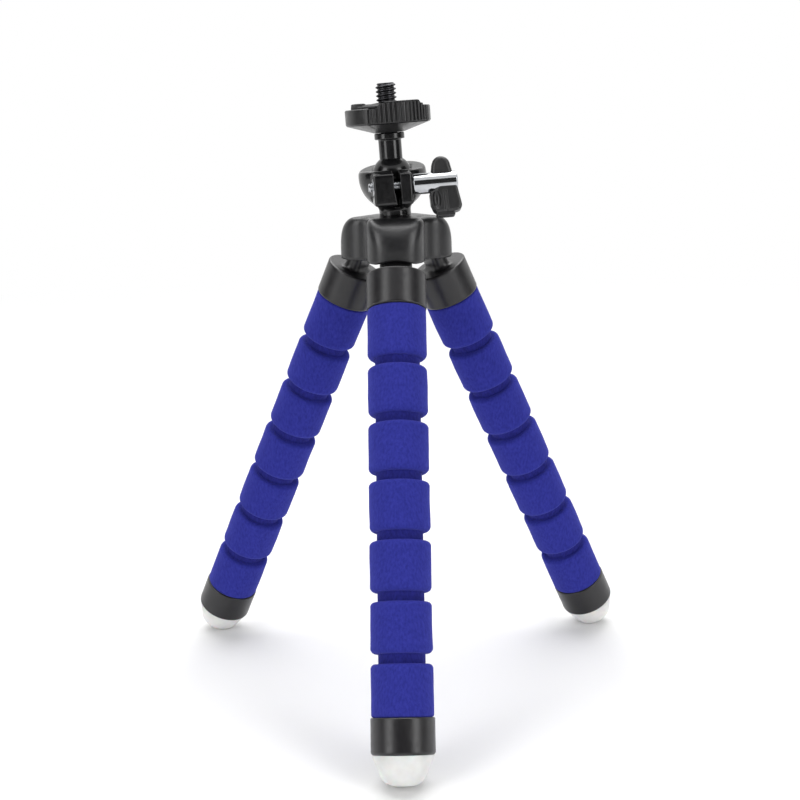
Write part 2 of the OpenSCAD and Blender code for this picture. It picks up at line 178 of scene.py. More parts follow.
def srgb(red, green, blue):
    """A colour as a screen shows it, from 0 to 255, in linear light."""
    shown = (red / 255, green / 255, blue / 255)
    return tuple(v / 12.92 if v <= 0.04045 else ((v + 0.055) / 1.055) ** 2.4 for v in shown)


def new_material(name, roughness, **sockets):
    """A material with constant values set on its shader."""
    material = bpy.data.materials.new(name)
    material.use_nodes = True
    shader = material.node_tree.nodes["Principled BSDF"]
    shader.inputs["Roughness"].default_value = roughness
    for socket, value in sockets.items():
        shader.inputs[socket.replace("_", " ")].default_value = value
    return material


def speckle(material, size, detail=2.0, stretch=(1, 1, 1)):
    """Noise with grains of a size in millimetres, on the piece's own coordinates."""
    nodes, links = material.node_tree.nodes, material.node_tree.links
    coordinates = nodes.new("ShaderNodeTexCoord")
    mapping = nodes.new("ShaderNodeMapping")
    mapping.inputs["Scale"].default_value = [s / (size * MM) for s in stretch]
    grains = nodes.new("ShaderNodeTexNoise")
    grains.inputs["Scale"].default_value = 1.0
    grains.inputs["Detail"].default_value = detail
    links.new(coordinates.outputs["Object"], mapping.inputs["Vector"])
    links.new(mapping.outputs["Vector"], grains.inputs["Vector"])
    return grains.outputs["Fac"]


def tint(material, source, dark, light):
    """Base colour that runs from dark to light with a source."""
    nodes, links = material.node_tree.nodes, material.node_tree.links
    ramp = nodes.new("ShaderNodeValToRGB")
    ramp.color_ramp.elements[0].position = NOISE_LOW
    ramp.color_ramp.elements[0].color = (*dark, 1)
    ramp.color_ramp.elements[1].position = NOISE_HIGH
    ramp.color_ramp.elements[1].color = (*light, 1)
    links.new(source, ramp.inputs["Fac"])
    links.new(ramp.outputs["Color"], nodes["Principled BSDF"].inputs["Base Color"])


def gloss(material, source, low, high):
    """Roughness that runs between two values with a source."""
    nodes, links = material.node_tree.nodes, material.node_tree.links
    spread = nodes.new("ShaderNodeMapRange")
    spread.inputs["From Min"].default_value = NOISE_LOW
    spread.inputs["From Max"].default_value = NOISE_HIGH
    spread.inputs["To Min"].default_value = low
    spread.inputs["To Max"].default_value = high
    links.new(source, spread.inputs["Value"])
    links.new(spread.outputs["Result"], nodes["Principled BSDF"].inputs["Roughness"])


def emboss(material, source, depth):
    """Relief of a depth in millimetres, over any relief that is there already."""
    nodes, links = material.node_tree.nodes, material.node_tree.links
    relief = nodes.new("ShaderNodeBump")
    relief.inputs["Strength"].default_value = 1.0
    relief.inputs["Distance"].default_value = depth * MM
    normal = nodes["Principled BSDF"].inputs["Normal"]
    if normal.is_linked:
        links.new(normal.links[0].from_socket, relief.inputs["Normal"])
    links.new(source, relief.inputs["Height"])
    links.new(relief.outputs["Normal"], normal)


def moulded_plastic(name, dark, light, roughness, grain):
    """Black moulded plastic: faint flow clouds, uneven gloss and a fine eroded grain."""
    material = new_material(name, roughness)
    tint(material, speckle(material, plastic_cloud, detail=3.0), dark, light)
    gloss(material, speckle(material, plastic_patch), roughness - gloss_spread, roughness + gloss_spread)
    emboss(material, speckle(material, plastic_grain), grain)
    return material


def lobe_axes(n, x, y):
    """Distances out along leg n's lobe and across it."""
    out = hinges[n] - hub_centre
    turn = math.atan2(out.y, out.x)
    along = x * math.cos(turn) + y * math.sin(turn)
    return along, y * math.cos(turn) - x * math.sin(turn)


def hub_shape(x, y, z):
    """The hub about the middle of its hinges."""
    plan = np.hypot(x, y) - hub_core_r
    crown = z - hub_up
    for n in LEGS:
        out, across = lobe_axes(n, x, y)
        plan = merge(plan, np.hypot(out - lobe_at, across) - lobe_r, hub_valley)
        fall = np.hypot(np.maximum(out - crown_out, 0), np.maximum(z - crown_low, 0)) - crown_r
        crown = carve(crown, fall, hub_edge)
    body = carve(plan, crown, crown_crease)
    body = carve(body, -hub_down - z, hub_edge)
    for n in LEGS:
        out, across = lobe_axes(n, x, y)
        mouth = np.maximum(np.hypot(out - lobe_at, across) - slot_r, z)
        eye = np.hypot(out - hinge_r, z) - eye_r
        slot = np.maximum(np.minimum(mouth, eye), np.abs(across) - slot_w / 2)
        arch = np.hypot(across, z + hub_down - arch_h + arch_r) - arch_r
        arch = np.maximum(arch, lobe_at - out)
        body = carve(carve(body, -slot, hub_edge / 2), -arch, hub_edge / 2)
    well = np.maximum(np.hypot(x, y) - screw_well_r, z + hub_down - screw_well_h)
    return carve(body, -well, hub_edge / 3)


hub_plastic = moulded_plastic("hub_plastic", srgb(33, 33, 35), srgb(40, 40, 41),
                              roughness=0.33, grain=0.004)
hub_place = setting(hub_centre, x_axis=(1, 0, 0), z_axis=(0, 0, 1))
hub_mesh = moulded(hub_shape, low=(-20.5, -20.5, -7), high=(20.5, 20.5, 9.5), cell=0.3, place=hub_place)
add_piece("hub_moulding", hub_mesh, hub_plastic, "hub_plastic", "hub", "hub")


# Hub screw: a small zinc plated screw driven up through the hub into the socket's neck.
# It is formed from wire, with a pan head and a cross recess that the driver takes hold of.
head_axis = Vector(joints["ball_pan"]["axis"])
ball_centre = Vector(joints["ball_pan"]["pos_m"])
ball_up = 12.2
head_place = setting(ball_centre - ball_up * MM * head_axis, x_axis=(1, 0, 0), z_axis=head_axis)
screw_seat = -hub_up - hub_down + screw_well_h
pan_r = 2.7
pan_h = 1.8
pan_edge = 0.5
pan_dome_r = 3.5
pan_dome_up = 1.6
pan_fillet = 0.2
hub_shank_r = 1.5
hub_shank_top = 1.5
hub_shank_edge = 0.4
recess_w = 0.75
recess_l = 1.4
recess_h = 1.0
recess_edge = 0.15
metal_cloud = 3.0
metal_patch = 0.8
metal_grain = 0.25
metal_grain_depth = 0.001


def pan_screw_shape(x, y, z):
    """The hub screw about the head's axis, with its head down."""
    r = np.hypot(x, y)
    drop = z - screw_seat
    dome = np.sqrt(r ** 2 + (drop - pan_dome_up) ** 2) - pan_dome_r
    head = carve(carve(r - pan_r, np.maximum(drop, -pan_h - drop), pan_edge), dome, pan_edge)
    shank = carve(r - hub_shank_r, np.maximum(screw_seat - z, z - hub_shank_top), hub_shank_edge)
    cross = np.minimum(np.maximum(np.abs(x) - recess_w / 2, np.abs(y) - recess_l),
                       np.maximum(np.abs(y) - recess_w / 2, np.abs(x) - recess_l))
    cross = np.maximum(cross, drop + pan_h - recess_h)
    return carve(merge(head, shank, pan_fillet), -cross, recess_edge)


def bright_metal(name, dark, light, roughness):
    """Bare or plated metal: fine polishing marks and a little unevenness in its gloss."""
    material = new_material(name, roughness, Metallic=1.0)
    tint(material, speckle(material, metal_cloud), dark, light)
    gloss(material, speckle(material, metal_patch, detail=4.0), low=roughness * 0.7, high=roughness * 1.3)
    emboss(material, speckle(material, metal_grain), metal_grain_depth)
    return material


steel = bright_metal("zinc_plate", srgb(176, 178, 182), srgb(206, 208, 212), roughness=0.28)
hub_screw_mesh = moulded(pan_screw_shape, low=(-3.2, -3.2, -16), high=(3.2, 3.2, 2), cell=0.14,
                         place=head_place)
add_piece("hub_screw_pan_head", hub_screw_mesh, steel, "steel", "hub", "hub_screw")


# Hinge pins: blackened steel pins pressed through the lobes, one through each leg's tongue.
# Their ends lie sunk in the lobes' sides, under the moulding's skin.
dark_steel = bright_metal("blackened_steel", srgb(58, 58, 60), srgb(72, 72, 75), roughness=0.38)
for n in LEGS:
    pin = frame["nodes"][f"leg_{n}_hinge_pin"]
    pin.data.materials.clear()
    pin.data.materials.append(dark_steel)


# Top caps: satin black caps moulded with a hinge tongue, pushed on the core wire and glued
# over the end of the foam. A crisp rim runs round the top, and the lower rim meets the foam.
cap_r = 9.2
cap_top = -10.2
cap_low = -21.6
cap_edge = 0.7
tongue_t = 5.4
tongue_w = 10.0
tongue_edge = 0.4
tongue_root = 4
tongue_fillet = 1.6
pin_bore_r = 1.25
pin_bore_edge = 0.2


def leg_place(n):
    """Leg n's own axes: the hinge line is Y, the leg runs down -Z and X points outwards."""
    up = hinges[n] - Vector(joints[f"leg_{n}_curl_1"]["pos_m"])
    return setting(hinges[n], hinges[n] - hub_centre, up)


def top_cap_shape(x, y, z):
    """A top cap with its tongue about a leg's own axes."""
    cap = carve(np.hypot(x, y) - cap_r, z - cap_top, cap_edge)
    cap = carve(cap, cap_low - z, cap_edge)
    plan = np.hypot(x, y - np.clip(y, tongue_t / 2 - tongue_w / 2, tongue_w / 2 - tongue_t / 2))
    eye = np.hypot(x, np.maximum(z, 0))
    tongue = carve(plan - tongue_t / 2, eye - tongue_t / 2, tongue_edge)
    tongue = np.maximum(tongue, cap_low + tongue_root - z)
    return carve(merge(cap, tongue, tongue_fillet), pin_bore_r - np.hypot(x, z), pin_bore_edge)


cap_plastic = moulded_plastic("cap_plastic", srgb(26, 25, 27), srgb(33, 32, 34),
                              roughness=0.34, grain=0.003)
for n in LEGS:
    cap_mesh = moulded(top_cap_shape, low=(-9.8, -9.8, -22.2), high=(9.8, 9.8, 3.4), cell=0.24,
                       place=leg_place(n))
    add_piece(f"leg_{n}_top_cap_moulding", cap_mesh, cap_plastic, "cap_plastic",
              f"leg_{n}_upper", f"leg_{n}_top_cap")


# Core wires: soft aluminium wire that keeps whatever bend it is given, from cap to cap.
# Each is drawn as six stretches, one through each groove.
GROOVES = 6
wire_r = 2.0
wire_seat = 6.9
wire_ring = 1.2
foam_end = -142.3
groove_half = 1.9


def leg_bodies(n):
    """Leg n's bodies from the hub down, one to each stretch of foam."""
    beads = [f"leg_{n}_bead_{k}" for k in range(2, GROOVES + 1)]
    return [f"leg_{n}_upper", *beads, f"leg_{n}_lower"]


def groove_joints(n):
    """Leg n's bending joints from the hub down, one at each groove."""
    names = [f"leg_{n}_{way}_{k}" for k in (1, 2, 3) for way in ("curl", "sway")]
    return [joints[name] for name in names]


def groove_depth(n, k):
    """How far down leg n's own axis groove k lies, counted from 0."""
    return (Vector(groove_joints(n)[k]["pos_m"]) - hinges[n]).length / MM


def rounded(corners, step=0.25):
    """An outline in which each corner (r, z, radius) is an arc, with short straight leads."""
    points = []
    for i, (r, z, radius) in enumerate(corners):
        here = Vector((r, z))
        if radius == 0 or i in (0, len(corners) - 1):
            points.append(here)
            continue
        back = (Vector(corners[i - 1][:2]) - here).normalized()
        on = (Vector(corners[i + 1][:2]) - here).normalized()
        half = back.angle(on) / 2
        lead = radius / math.tan(half)
        middle = here + (back + on).normalized() * (radius / math.sin(half))
        first, last = here + back * lead, here + on * lead
        count = max(4, math.ceil((math.pi - 2 * half) * radius / step))
        ease = min(0.1, 0.2 * radius)
        points.append(first + back * ease)
        for j in range(count + 1):
            chord = first.lerp(last, j / count) - middle
            points.append(middle + chord.normalized() * radius)
        points.append(last + on * ease)
    return points


def turned(outline, place, sides=72, swell=None):
    """Closed mesh of an outline of (r, z) points turned about the Z axis."""
    angles = 2 * math.pi * np.arange(sides) / sides
    verts, rings = [], []
    for r, z in outline:
        if r < 1e-6:
            rings.append([len(verts)])
            verts.append((0, 0, z))
            continue
        radii = np.full(sides, float(r))
        if swell:
            radii = radii + swell(angles, r, z)
        rings.append(list(range(len(verts), len(verts) + sides)))
        verts.extend(zip(radii * np.cos(angles), radii * np.sin(angles), np.full(sides, z)))
    faces = []
    for a, b in zip(rings, rings[1:]):
        for i in range(sides):
            j = (i + 1) % sides
            ring = [a[i % len(a)], a[j % len(a)], b[j % len(b)], b[i % len(b)]]
            faces.append(list(dict.fromkeys(ring)))
    mesh = bpy.data.meshes.new("turning")
    mesh.from_pydata(verts, [], faces)
    mesh.transform(place)
    mesh.shade_smooth()
    return outward(mesh)


def bend_at_groove(piece):
    """Bakes a piece's placement into its mesh."""
    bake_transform(piece)


wire_metal = bright_metal("aluminium_wire", srgb(150, 152, 156), srgb(172, 174, 178), roughness=0.35)
for n in LEGS:
    depths = [groove_depth(n, k) for k in range(GROOVES)]
    pitch = depths[1] - depths[0]
    for k, depth in enumerate(depths):
        top = cap_low + wire_seat if k == 0 else -depth + pitch / 2
        low = foam_end - wire_seat if k == GROOVES - 1 else -depth - pitch / 2
        count = math.ceil((top - low) / wire_ring)
        sides = [(wire_r, low + (top - low) * i / count) for i in range(count + 1)]
        wire_mesh = turned([(0, low), *sides, (0, top)], leg_place(n), sides=24)
        wire = add_piece(f"leg_{n}_wire_{k + 1}", wire_mesh, wire_metal, "wire", None,
                         f"leg_{n}_core_wire")
        bend_at_groove(wire)


# Foam sleeves: tubes of closed cell foam, ground to a fine velvety skin and grooved into
# seven soft stretches. The stretches are firm rings with rounded shoulders, and the thin
# foam in the grooves between them bends with the leg.
foam_r = 9.0
waist_r = 6.8
notch_half = 1.4
shoulder_r = 1.3
under_r = 1.7
foam_lip = 0.7
waist_flare = 0.7
waist_flare_from = 0.55
waist_flare_most = 0.5
waist_tuck = 0.8
waist_rings = 24
foam_step = 0.5
swell_h = 0.16
swell_turn = 0.9
swell_len = 7
streak_size = 0.6
streak_stretch = (1, 1, 0.4)
dent_size = 2.4
dent_depth = 0.05
pore_size = 0.4
pore_depth = 0.07


def foam_swell(n, k):
    """Slow unevenness of stretch k of leg n's foam, a tenth of a millimetre or so."""
    leg_shift, bead_shift = 9.1 * n, 5.3 * k

    def swell(angles, r, z):
        rows = [Vector((leg_shift + swell_turn * math.cos(a), bead_shift + swell_turn * math.sin(a),
                        z / swell_len)) for a in angles]
        return np.array([swell_h * r / foam_r * noise.noise(row) for row in rows])
    return swell


def foam(name, dark, light):
    """Foam skin: fine streaks along the leg, a slow unevenness and open grains."""
    material = new_material(name, roughness=0.92, Specular_IOR_Level=0.18, Sheen_Weight=0.25,
                            Sheen_Roughness=0.5, Sheen_Tint=(*srgb(120, 125, 235), 1))
    tint(material, speckle(material, streak_size, detail=5.0, stretch=streak_stretch), dark, light)
    emboss(material, speckle(material, dent_size), dent_depth)
    emboss(material, speckle(material, pore_size, detail=4.0), pore_depth)
    return material


foam_skin = foam("foam_skin", srgb(38, 42, 130), srgb(50, 54, 153))
# The foam in the grooves is the same foam painted darker: painted shade in the grooves between the
# stretches.
groove_painted_shade = foam("groove_painted_shade", srgb(31, 33, 110), srgb(43, 45, 136))

for n in LEGS:
    bodies = leg_bodies(n)
    depths = [groove_depth(n, k) for k in range(GROOVES)]
    for k, body in enumerate(bodies):
        top = cap_low if k == 0 else -depths[k - 1] - notch_half
        low = foam_end if k == GROOVES else -depths[k] + notch_half
        low_round = foam_lip if k == GROOVES else under_r
        top_round = foam_lip if k == 0 else shoulder_r
        outline = rounded([(0, low, 0), (foam_r, low, low_round), (foam_r, top, top_round), (0, top, 0)])
        even = []
        for a, b in zip(outline, outline[1:]):
            on_skin = min(a.x, b.x) > waist_r - 1
            count = max(1, math.ceil((b - a).length / foam_step)) if on_skin else 1
            even += [a.lerp(b, i / count) for i in range(count)]
        bead_mesh = turned([*even, outline[-1]], leg_place(n), sides=112, swell=foam_swell(n, k))
        bead = add_piece(f"leg_{n}_foam_stretch_{k + 1}", bead_mesh, foam_skin, "foam", body,
                         f"leg_{n}_foam_{k + 1}")
    for k, depth in enumerate(depths):
        reach = groove_half + waist_tuck
        curve = []
        for i in range(waist_rings + 1):
            along = -1 + 2 * i / waist_rings
            flare = waist_flare * max(0, abs(along) * reach / groove_half - waist_flare_from) ** 2
            curve.append((waist_r + min(flare, waist_flare_most), -depth + along * reach))
        waist_mesh = turned([(0, -depth - reach), *curve, (0, -depth + reach)], leg_place(n), sides=96)
        # The waists take the darker foam, which is painted shade in the grooves.
        waist = add_piece(f"leg_{n}_foam_waist_{k + 1}", waist_mesh, groove_painted_shade, "foam", None)
        bend_at_groove(waist)


# Foot caps: plain black moulded caps over the foam's lower end, pushed on the core wire.
# Their lower rim is rounded over the edge of the white foot.
foot_at = -152.7
foot_cap_round = 1.1
foot_cap_edge = 0.4
for n in LEGS:
    outline = rounded([(0, foot_at, 0), (cap_r, foot_at, foot_cap_round),
                       (cap_r, foam_end, foot_cap_edge), (0, foam_end, 0)])
    foot_cap_mesh = turned(outline, leg_place(n), sides=112)
    add_piece(f"leg_{n}_foot_cap_turned", foot_cap_mesh, cap_plastic, "cap_plastic",
              f"leg_{n}_lower", f"leg_{n}_foot_cap")


# Feet: round-nosed cones of milky white rubber, each held by its plug in the foot cap.
# The weight on the nose presses a small flat where it meets the floor.
foot_r = 8.9
foot_len = 8.3
foot_tip_r = 5.4
foot_round = 4.9
foot_lip = 0.5
foot_rubber = new_material("foot_rubber", roughness=0.42, Subsurface_Weight=0.25, Subsurface_Scale=0.002)
tint(foot_rubber, speckle(foot_rubber, size=4.0), srgb(226, 226, 224), srgb(238, 238, 236))
gloss(foot_rubber, speckle(foot_rubber, size=1.5), low=0.36, high=0.5)
emboss(foot_rubber, speckle(foot_rubber, size=0.5), depth=0.006)
for n in LEGS:
    foot_low, foot_top = foot_at - foot_len, foot_at + foot_lip
    outline = rounded([(0, foot_low, 0), (foot_tip_r, foot_low, foot_round), (foot_r, foot_at, 0),
                       (foot_r - foot_lip, foot_top, 0), (0, foot_top, 0)])
    foot_mesh = turned(outline, leg_place(n), sides=96)
    for vertex in foot_mesh.vertices:
        vertex.co.z = max(vertex.co.z, 0)
    add_piece(f"leg_{n}_foot_dome", foot_mesh, foot_rubber, "foot_rubber",
              f"leg_{n}_lower", f"leg_{n}_rubber_foot")


# Ball socket: a glossy black moulding, a split bowl on a short neck with two square ears in
# front. The clamp screw draws the ears together on the ball. The rim rises towards the back.
clamp_axis = Vector(joints["clamp_turn"]["axis"])
clamp_place = setting(joints["clamp_turn"]["pos_m"], clamp_axis, head_axis)
head_to_clamp = clamp_place.inverted() @ head_place
bowl_r = 10.7
cavity_r = 6.45
cavity_edge = 0.4
rim_at = 14.2
rim_rise = 0.21
rim_skew = 0.35
rim_edge = 0.9
stem_room = 4.8
stem_room_low = -1
stem_room_edge = 0.3
stem_lean = 0.7
neck_r = 5.0
neck_low = -0.3
neck_fillet = 1.2
nut_face = -7.3
barrel_face = 4.8
barrel_room = 3.5
ear_front = -3.6
ear_back = 5.0
ear_low = -5.8
ear_top = 4.0
ear_edge = 1.1
ear_fillet = 0.5
slit_half = 1.0
slit_back = 9.0
slit_taper = 0.12
slit_taper_top = -0.5
slit_edge = 0.35
clamp_bore_r = 1.55
bore_edge = 0.2
nut_half_af = 2.7
nut_sink = 2.0
nut_play = 0.05
pocket_edge = 0.25


def through(matrix, x, y, z):
    """Coordinates carried through a matrix."""
    return [matrix[i][0] * x + matrix[i][1] * y + matrix[i][2] * z + matrix[i][3] for i in range(3)]


def block(x, y, z, low, high, edge):
    """A box between two corners, with rounded edges."""
    sides = [np.maximum(lo - v, v - hi) for v, lo, hi in zip((x, y, z), low, high)]
    return carve(carve(sides[0], sides[1], edge), sides[2], edge)


def hexagon(y, z, half_af):
    """A hexagonal bar along X with corners above and below."""
    return np.maximum(np.abs(y), 0.5 * np.abs(y) + math.sqrt(0.75) * np.abs(z)) - half_af


def socket_shape(x, y, z):
    """The socket about the head's axis, with the ears placed by the clamp's axis."""
    r = np.hypot(x, y)
    up = z - ball_up
    centre = np.hypot(r, up)
    rim = z - rim_at - rim_rise * np.maximum(y + rim_skew * np.maximum(x, 0), 0)
    bowl = carve(centre - bowl_r, rim, rim_edge)
    body = merge(bowl, np.maximum(r - neck_r, up), neck_fillet)
    cx, cy, cz = through(head_to_clamp, x, y, z)
    ears = block(cx, cy, cz, (nut_face, ear_front, ear_low), (barrel_face, ear_back, ear_top), ear_edge)
    body = merge(body, ears, ear_fillet)
    body = carve(body, cavity_r - centre, cavity_edge)
    cone = (stem_room + stem_lean * up - r) / math.hypot(1, stem_lean)
    body = carve(body, np.minimum(cone, up - stem_room_low), stem_room_edge)
    slit_left = -slit_half - slit_taper * np.minimum(cz - slit_taper_top, 0)
    slit = np.maximum(cx - slit_half, slit_left - cx)
    slit = np.maximum(slit, np.maximum(cy - slit_back, ear_low - 1 - cz))
    body = carve(body, -slit, slit_edge)
    clamp_line = np.hypot(cy, cz)
    body = carve(body, clamp_bore_r - clamp_line, bore_edge)
    body = carve(body, np.minimum(barrel_room - clamp_line, cx - barrel_face), bore_edge)
    pocket = np.maximum(hexagon(cy, cz, nut_half_af + nut_play), cx - nut_face - nut_sink)
    body = carve(body, -pocket, pocket_edge)
    return carve(body, neck_low - z, bore_edge)


head_plastic = moulded_plastic("head_plastic", srgb(17, 17, 18), srgb(23, 23, 24),
                               roughness=0.2, grain=0.002)
socket_mesh = moulded(socket_shape, low=(-11.5, -15.5, -1), high=(11.5, 11.5, 17.6), cell=0.2,
                      place=head_place)
add_piece("ball_socket_moulding", socket_mesh, head_plastic, "head_plastic", "hub", "ball_socket")


# Clamp nut: a bright pressed hexagon nut in the pocket of the left ear.
# Its corners are chamfered and the clamp screw's thread runs through it.
nut_h = nut_sink
nut_edge = 0.15
nut_slope = 1.7
nut_chamfer = 0.25
nut_corner = 1.04
nut_bore_r = 1.45
nut_mouth = 0.3
nut_mouth_edge = 0.1


def nut_shape(x, y, z):
    """The nut about the clamp's axis, with corners and bore chamfered at both faces."""
    face = np.abs(x - nut_face - nut_h / 2) - nut_h / 2
    r = np.hypot(y, z)
    body = carve(hexagon(y, z, nut_half_af), face, nut_edge)
    body = carve(body, (r + nut_slope * (face + nut_chamfer) - nut_half_af * nut_corner) / 2, nut_edge)
    mouth = np.maximum(nut_bore_r - r, (nut_bore_r - r - face - nut_mouth) / 1.4)
    return carve(body, mouth, nut_mouth_edge)


nut_mesh = moulded(nut_shape, low=(-7.8, -3.6, -3.6), high=(-4.8, 3.6, 3.6), cell=0.12, place=clamp_place)
add_piece("clamp_nut_hexagon", nut_mesh, steel, "steel", "hub", "clamp_nut")


# Clamp screw: a threaded shank drawn through both ears, with a long plated barrel that the
# lever is pushed on. The barrel is chromed and polished, and its end has a shallow dimple.
barrel_at = 4.9
barrel_end = 18.7
barrel_r = 3.2
barrel_edge = 0.45
dimple_r = 1.5
dimple_foot_r = dimple_r * 0.6
dimple_h = 0.5
dimple_edge = 0.3
shank_r = 1.5
shank_sink = 1
shank_end = -8.7
shank_pitch = 0.8
shank_depth = 0.32
THREAD_STEPS = 18
CREST_HALF = 0.1
FLANK_SHARE = 0.26
TIP_CHAMFER = 0.15


def threaded(low, high, radius, pitch, depth, place, plain_low=None, plain_r=None, sides=64):
    """Closed mesh of a screw along Z: a helical thread with a chamfered tip, and a plain root."""
    angles = 2 * math.pi * np.arange(sides) / sides
    heights = np.arange(low, high + 1e-6, pitch / THREAD_STEPS)
    verts, rings = [(0, 0, low if plain_low is None else plain_low)], []
    levels = [] if plain_low is None else [(z, True) for z in np.linspace(plain_low, low, 6)]
    for z, plain in levels + [(z, False) for z in heights]:
        phase = np.mod(z / pitch - angles / (2 * math.pi), 1)
        flank = np.clip((np.abs(phase - 0.5) - CREST_HALF) / FLANK_SHARE, 0, 1)
        radii = np.minimum(radius - depth * flank, radius - depth - TIP_CHAMFER + (high - z))
        radii = np.full(sides, plain_r) if plain else radii
        rings.append(range(len(verts), len(verts) + sides))
        verts.extend(zip(radii * np.cos(angles), radii * np.sin(angles), np.full(sides, z)))
    verts.append((0, 0, high))
    faces = []
    for i in range(sides):
        j = (i + 1) % sides
        faces.append((0, rings[0][j], rings[0][i]))
        faces.append((len(verts) - 1, rings[-1][i], rings[-1][j]))
        faces += [(a[i], a[j], b[j], b[i]) for a, b in zip(rings, rings[1:])]
    mesh = bpy.data.meshes.new("screw")
    mesh.from_pydata(verts, [], faces)
    mesh.transform(place)
    mesh.shade_smooth()
    return outward(mesh)


def joined(*meshes):
    """Several meshes as one."""
    verts, faces = [], []
    for mesh in meshes:
        faces += [[i + len(verts) for i in face.vertices] for face in mesh.polygons]
        verts += [vertex.co[:] for vertex in mesh.vertices]
    whole = bpy.data.meshes.new("whole")
    whole.from_pydata(verts, [], faces)
    whole.shade_smooth()
    return whole


chrome = bright_metal("chrome_plate", srgb(180, 182, 185), srgb(192, 194, 197), roughness=0.09)
along_clamp = setting(joints["clamp_turn"]["pos_m"], head_axis, clamp_axis)
against_clamp = setting(joints["clamp_turn"]["pos_m"], head_axis, -clamp_axis)
dimple_at = barrel_end - dimple_h
barrel_outline = rounded([(0, barrel_at, 0), (barrel_r, barrel_at, barrel_edge),
                          (barrel_r, barrel_end, barrel_edge), (dimple_r, barrel_end, dimple_edge),
                          (dimple_foot_r, dimple_at, dimple_edge), (0, dimple_at, 0)])
barrel = turned(barrel_outline, along_clamp, sides=96)
shank = threaded(-barrel_at - shank_sink, -shank_end, shank_r, shank_pitch, shank_depth, against_clamp)
add_piece("clamp_screw_barrel", joined(barrel, shank), chrome, "chrome", "clamp", "clamp_screw")


# Clamp lever: a black moulding pushed across the barrel, with a short thumb nub above it and
# a broad wing below. The wing is hollowed for the finger, grooved, and ends in a small square tip.
lever_turn = 20.0
lever_place = clamp_place @ Matrix.Rotation(math.radians(-lever_turn), 4, "X")
lever_half_t = 2.6
lever_grip = 0.05
nub_x = 14.2
nub_foot = (1.2, 3.5)
nub_top = (5.0, 2.85)
nub_half_t = lever_half_t - 0.2
nub_edge = 1.5
wing_left = 9.9
wing_left_edge = 1.0
wing_slant = 0.33
wing_slant_top = -6.9
wing_right = 18.1
wing_flare = 0.16
wing_low = -9.6
wing_corner = 2.4
wing_thinning = 0.07
wing_thin_top = -2
wing_edge = 0.9
wing_top_edge = 0.2
scoop_at = (10.2, -0.4)
scoop_r = 2.7
scoop_edge = 0.5
hollow_at = (11.7, -6.0)
hollow_size = (1.3, 2.9, 1.4)
wing_groove_at = 14.5
wing_groove_r = 0.5
wing_groove_top = -3.2
wing_groove_edge = 0.3
tip_from = 11.3
tip_to = 17.0
tip_low = -11.0
tip_half_t = 1.5
tip_root = 2
tip_edge = 0.5
tip_fillet = 0.4


def tapered(x, z, foot, top):
    """A slab's outline with a round end above and a wider one below."""
    height = top[0] - foot[0]
    lean = (foot[1] - top[1]) / height
    side = math.sqrt(1 - lean * lean)
    across, up = np.abs(x), z - foot[0]
    along = up * side - across * lean
    flank = across * side + up * lean - foot[1]
    cap = np.hypot(x, up - height) - top[1]
    return np.where(along < 0, np.hypot(x, up) - foot[1], np.where(along > side * height, cap, flank))


def lever_shape(x, y, z):
    """The lever about the clamp's axis, X, with its wing down."""
    depth = np.abs(y)
    nub = carve(tapered(x - nub_x, z, nub_foot, nub_top), depth - nub_half_t, nub_edge)
    nub = np.maximum(nub, -z)
    right = (x + wing_flare * z - wing_right) / math.hypot(1, wing_flare)
    wing = carve(right, wing_low - z, wing_corner)
    left = wing_left + wing_slant * np.maximum(wing_slant_top - z, 0) - x
    wing = carve(wing, left, wing_left_edge)
    scoop = scoop_r - np.hypot(x - scoop_at[0], z - scoop_at[1])
    wing = carve(carve(wing, scoop, scoop_edge), z, wing_top_edge)
    thick = lever_half_t + wing_thinning * np.minimum(z - wing_thin_top, 0)
    wing = carve(wing, depth - thick, wing_edge)
    hollow = np.sqrt(((x - hollow_at[0]) / hollow_size[0]) ** 2 + ((z - hollow_at[1]) / hollow_size[1]) ** 2
                     + ((depth - thick) / hollow_size[2]) ** 2)
    wing = carve(wing, (1 - hollow) * hollow_size[0], wing_groove_edge)
    groove = np.hypot(x - wing_groove_at, depth - thick) - wing_groove_r
    wing = carve(wing, -np.maximum(groove, z - wing_groove_top), wing_groove_edge)
    tip_top = wing_low + tip_root
    tip = block(x, y, z, (tip_from, -tip_half_t, tip_low), (tip_to, tip_half_t, tip_top), tip_edge)
    body = merge(merge(nub, wing, wing_groove_edge), tip, tip_fillet)
    return carve(body, barrel_r - lever_grip - np.hypot(y, z), bore_edge)


lever_plastic = moulded_plastic("lever_plastic", srgb(30, 30, 31), srgb(38, 38, 39),
                                roughness=0.36, grain=0.004)
lever_mesh = moulded(lever_shape, low=(9.2, -3.4, -11.8), high=(20.8, 3.4, 8.7), cell=0.16,
                     place=lever_place)
add_piece("clamp_lever_moulding", lever_mesh, lever_plastic, "lever_plastic", "clamp", "clamp_lever")


# Ball: a glossy black moulded ball, gripped in the socket.
# A small flat at its foot is where it was fed in the mould.
ball_r = 6.4
ball_flat = 0.25
ball_rings = 60
ball_outline = [(0, ball_up - ball_r + ball_flat)]
ball_outline += [(ball_r * math.sin(t), ball_up - ball_r * math.cos(t))
                 for t in np.linspace(math.acos(1 - ball_flat / ball_r), math.pi, ball_rings)]
add_piece("ball_moulding", turned(ball_outline, head_place, sides=96), head_plastic,
          "head_plastic", "ball", "ball")


